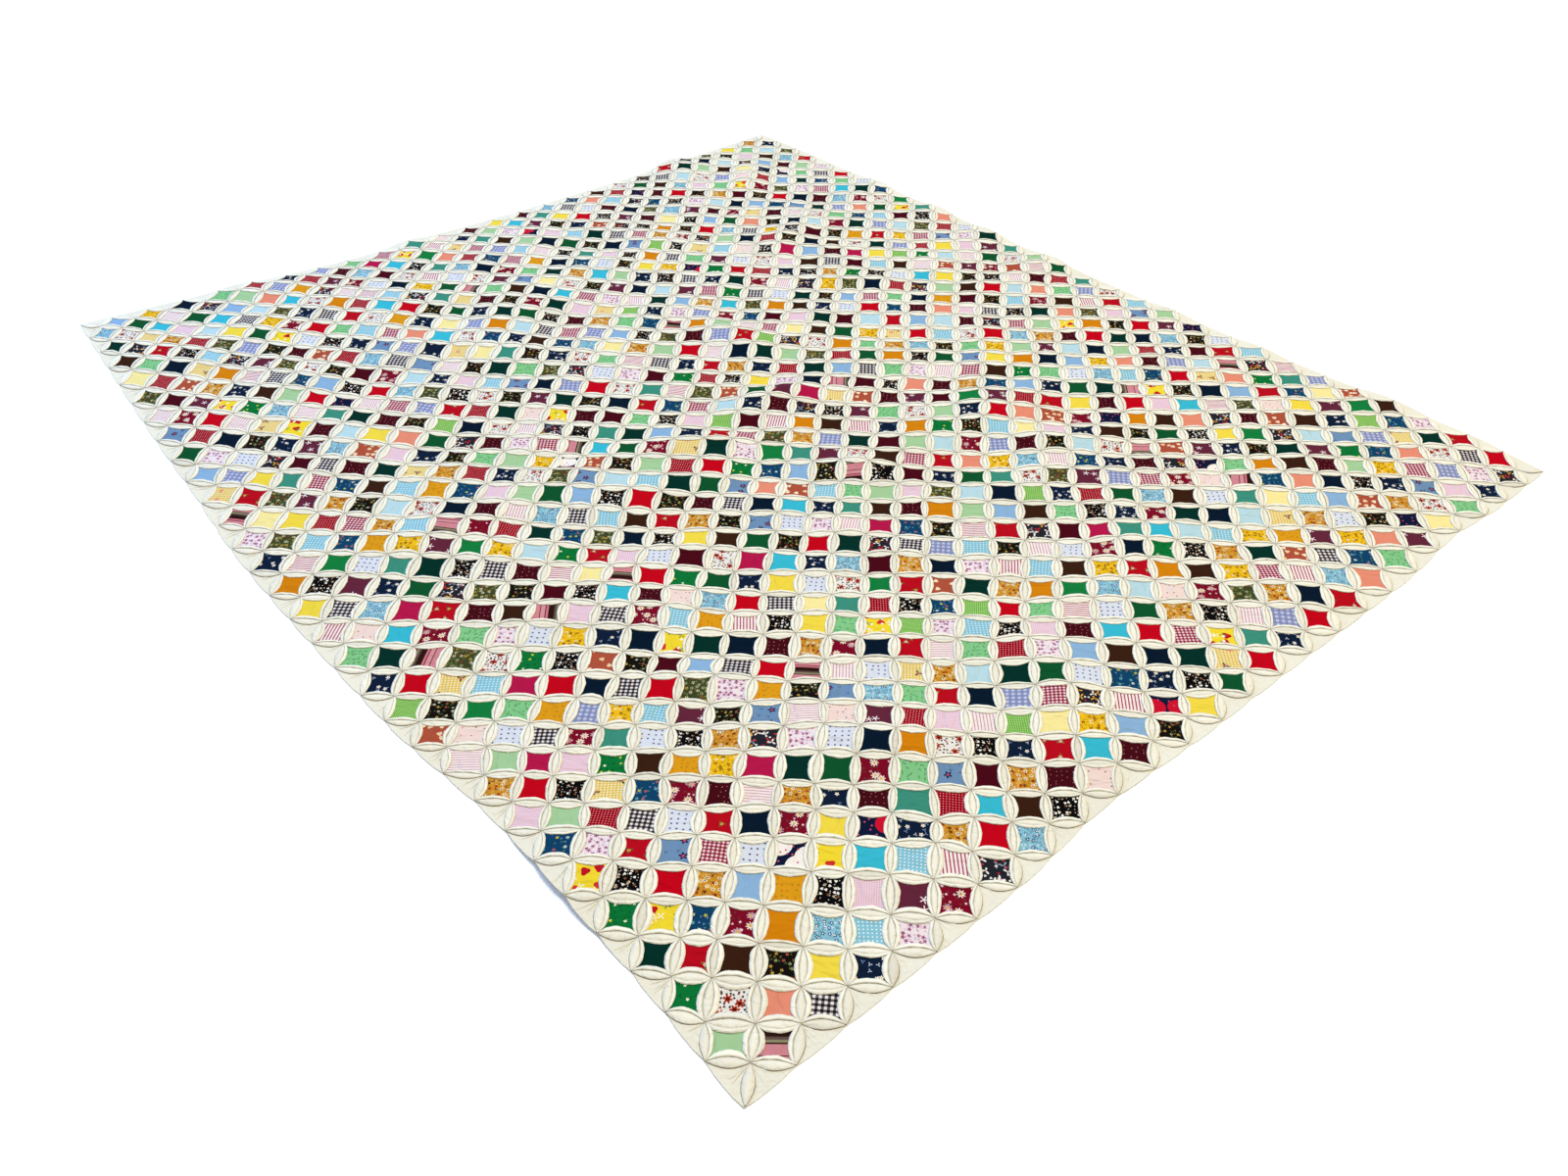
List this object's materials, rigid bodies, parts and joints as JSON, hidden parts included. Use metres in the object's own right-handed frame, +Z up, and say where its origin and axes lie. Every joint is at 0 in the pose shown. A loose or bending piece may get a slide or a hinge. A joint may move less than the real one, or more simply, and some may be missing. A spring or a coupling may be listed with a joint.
{
  "type": "patchwork quilt",
  "caption": "Patchwork quilt laid out flat: a thin sheet of folded muslin blocks with coloured window patches, low ripples and a plain muslin edge.",
  "frame": {"origin": "on the surface that the quilt lies on, under the middle of its bounding box", "axes": "+Z up from the surface, +Y along the quilt's length, +X across its width"},
  "size_m": [1.964, 2.406, 0.021],
  "materials": {
    "muslin": "unbleached cotton muslin, washed and matt",
    "patches": "plain and printed dress cottons, matt, many colours",
    "thread": "cotton sewing thread"
  },
  "bodies": {
    "root": {"quilt": "muslin"}
  },
  "joints": []
}
